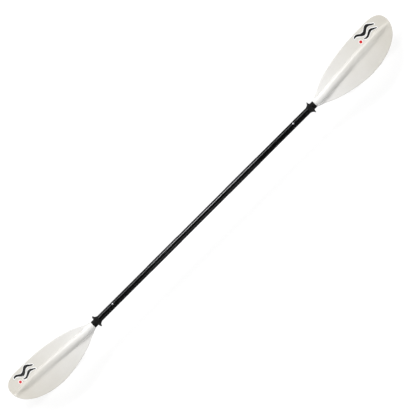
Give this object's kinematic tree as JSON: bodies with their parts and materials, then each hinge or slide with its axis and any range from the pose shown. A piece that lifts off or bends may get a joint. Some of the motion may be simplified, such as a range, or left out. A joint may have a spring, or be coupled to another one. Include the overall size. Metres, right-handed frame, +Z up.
{
  "type": "kayak paddle",
  "caption": "Take-apart double-bladed kayak paddle with a round black shaft, cupped drip rings and asymmetric white blades with a raised spine.",
  "frame": {"origin": "on the ground, straight below the shaft's axis at the paddle's mid-length, with the paddle lying flat", "axes": "+X along the shaft, +Y across the blades towards their fuller edge, +Z up"},
  "size_m": [2.18, 0.1686, 0.056],
  "materials": {
    "shaft_black": "satin black anodised aluminium tube",
    "ferrule_alloy": "drawn aluminium",
    "oring_rubber": "soft black rubber",
    "ring_rubber": "matte moulded black rubber",
    "button_steel": "polished stainless steel",
    "spring_steel": "spring steel strip",
    "grip_vinyl": "shrink-fit black vinyl, semi gloss",
    "float_foam": "closed-cell foam",
    "blade_plastic": "white moulded plastic, satin",
    "decal_white": "white vinyl film",
    "decal_black": "black vinyl film",
    "decal_red": "red vinyl film"
  },
  "bodies": {
    "shaft_left": {"shaft_left": "shaft_black", "left_grip_sleeve": "grip_vinyl", "left_shaft_plug": "float_foam"},
    "joint_oring": {"centre_oring": "oring_rubber"},
    "shaft_right": {"shaft_right": "shaft_black", "centre_ferrule": "ferrule_alloy", "centre_spring": "spring_steel", "right_grip_sleeve": "grip_vinyl", "right_shaft_plug": "float_foam"},
    "centre_button": {"centre_button": "button_steel"},
    "left_blade_section": {"left_blade": "blade_plastic", "left_stub_tube": "shaft_black", "left_stub_plug": "float_foam", "left_blade_ferrule": "ferrule_alloy", "left_blade_oring": "oring_rubber", "left_blade_spring": "spring_steel", "left_decal_base": "decal_white", "left_decal_waves": "decal_black", "left_decal_dot": "decal_red"},
    "left_blade_button": {"left_blade_button": "button_steel"},
    "left_drip_ring": {"left_drip_ring": "ring_rubber"},
    "right_blade_section": {"right_blade": "blade_plastic", "right_stub_tube": "shaft_black", "right_stub_plug": "float_foam", "right_blade_ferrule": "ferrule_alloy", "right_blade_oring": "oring_rubber", "right_blade_spring": "spring_steel", "right_decal_base": "decal_white", "right_decal_waves": "decal_black", "right_decal_dot": "decal_red"},
    "right_blade_button": {"right_blade_button": "button_steel"},
    "right_drip_ring": {"right_drip_ring": "ring_rubber"}
  },
  "joints": [
    {"name": "pull_apart", "type": "slide", "parent": "shaft_left", "child": "joint_oring", "axis": [1, 0, 0], "range_m": [0, 0.12], "deforming": ["centre_button"]},
    {"name": "feather_turn", "type": "hinge", "parent": "joint_oring", "child": "shaft_right", "pos_m": [-0.028, 0, 0.028], "axis": [1, 0, 0], "range_deg": [-60, 60]},
    {"name": "centre_button_press", "type": "slide", "parent": "shaft_right", "child": "centre_button", "axis": [0, 0, 1], "range_m": [0, 0.0045], "stiffness_N_per_m": 2500, "deforming": ["centre_spring"]},
    {"name": "left_blade_pull", "type": "slide", "parent": "shaft_left", "child": "left_blade_section", "axis": [-1, 0, 0], "range_m": [0, 0.095], "deforming": ["left_blade_button"]},
    {"name": "left_blade_button_press", "type": "slide", "parent": "left_blade_section", "child": "left_blade_button", "axis": [0, -0.342, -0.9397], "range_m": [0, 0.0045], "stiffness_N_per_m": 2500, "deforming": ["left_blade_spring"]},
    {"name": "left_ring_slide", "type": "slide", "parent": "left_blade_section", "child": "left_drip_ring", "axis": [1, 0, 0], "range_m": [0, 0.055]},
    {"name": "right_blade_pull", "type": "slide", "parent": "shaft_right", "child": "right_blade_section", "axis": [1, 0, 0], "range_m": [0, 0.095], "deforming": ["right_blade_button"]},
    {"name": "right_blade_button_press", "type": "slide", "parent": "right_blade_section", "child": "right_blade_button", "axis": [0, -0.342, -0.9397], "range_m": [0, 0.0045], "stiffness_N_per_m": 2500, "deforming": ["right_blade_spring"]},
    {"name": "right_ring_slide", "type": "slide", "parent": "right_blade_section", "child": "right_drip_ring", "axis": [-1, 0, 0], "range_m": [0, 0.055]}
  ]
}
